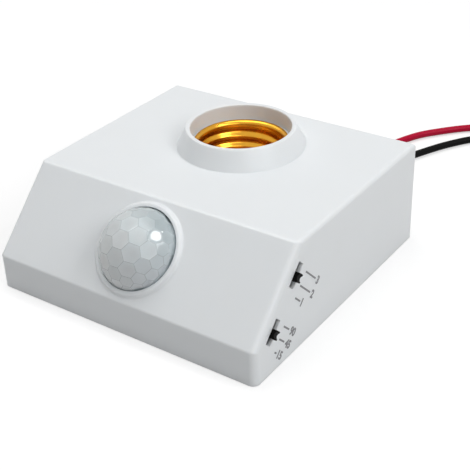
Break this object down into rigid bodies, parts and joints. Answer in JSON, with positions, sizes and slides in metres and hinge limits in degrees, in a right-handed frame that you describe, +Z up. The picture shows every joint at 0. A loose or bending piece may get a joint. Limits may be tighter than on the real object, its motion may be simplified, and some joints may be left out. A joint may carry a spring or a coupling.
{
  "type": "motion sensor lamp holder",
  "caption": "Square white lamp holder with an E27 screw socket on top, a domed motion sensor lens on its sloping front, two slide switches in one side and two bare-ended leads at the back.",
  "frame": {"origin": "centre of the underside, which is flush with the housing's lower edge", "axes": "+Z up through the socket, -Y towards the sloping front with the lens, +X towards the side with the two slide switches"},
  "size_m": [0.1168, 0.1767, 0.0382],
  "materials": {
    "white_plastic": "satin moulded, cool white",
    "black_plastic": "satin black",
    "cream_plastic": "matt cream phenolic",
    "blue_plastic": "satin blue",
    "yellow_plastic": "satin yellow",
    "lens": "translucent milky polyethylene",
    "brass": "bright gold-coloured rolled sheet",
    "steel": "bright zinc plated",
    "tinned_copper": "tinned",
    "board": "brown laminate",
    "red_insulation": "satin crimson",
    "black_insulation": "satin black",
    "grey_ribbon": "matt grey"
  },
  "bodies": {
    "holder": {"housing": "white_plastic", "base_plate": "white_plastic", "screw_shell": "brass", "centre_contact": "brass", "shell_contact": "brass", "contact_rivet": "brass", "shell_rivet": "brass", "socket_insulator": "cream_plastic", "socket_screw_1": "steel", "socket_screw_2": "steel", "base_screw_1": "steel", "base_screw_2": "steel", "lens_dome": "lens", "motion_sensor": "steel", "light_sensor": "cream_plastic", "sensor_board": "board", "sensor_board_screw_1": "steel", "sensor_board_screw_2": "steel", "sensor_board_screw_3": "steel", "sensor_chip": "black_plastic", "light_switch_frame": "steel", "light_switch_base": "cream_plastic", "delay_switch_frame": "steel", "delay_switch_base": "cream_plastic", "light_switch_pin_1": "tinned_copper", "light_switch_pin_2": "tinned_copper", "light_switch_pin_3": "tinned_copper", "delay_switch_pin_1": "tinned_copper", "delay_switch_pin_2": "tinned_copper", "delay_switch_pin_3": "tinned_copper", "power_board": "board", "power_board_screw_1": "steel", "power_board_screw_2": "steel", "power_board_screw_3": "steel", "power_board_screw_4": "steel", "relay": "blue_plastic", "film_capacitor": "yellow_plastic", "filter_capacitor": "black_plastic", "varistor": "blue_plastic", "diode_1": "black_plastic", "diode_2": "black_plastic", "diode_3": "black_plastic", "diode_4": "black_plastic", "board_link": "grey_ribbon", "contact_lead": "red_insulation", "shell_lead": "black_insulation", "red_inner_lead": "red_insulation", "black_inner_lead": "black_insulation", "red_lead": "red_insulation", "black_lead": "black_insulation", "red_lead_tip": "tinned_copper", "black_lead_tip": "tinned_copper"},
    "light_slider": {"light_knob": "black_plastic"},
    "delay_slider": {"delay_knob": "black_plastic"}
  },
  "joints": [
    {"name": "light_slide", "type": "slide", "parent": "holder", "child": "light_slider", "axis": [0, 0.7059, 0.7083], "range_m": [-0.0015, 0.0015]},
    {"name": "delay_slide", "type": "slide", "parent": "holder", "child": "delay_slider", "axis": [0, 0.7059, 0.7083], "range_m": [-0.0015, 0.0015]}
  ]
}
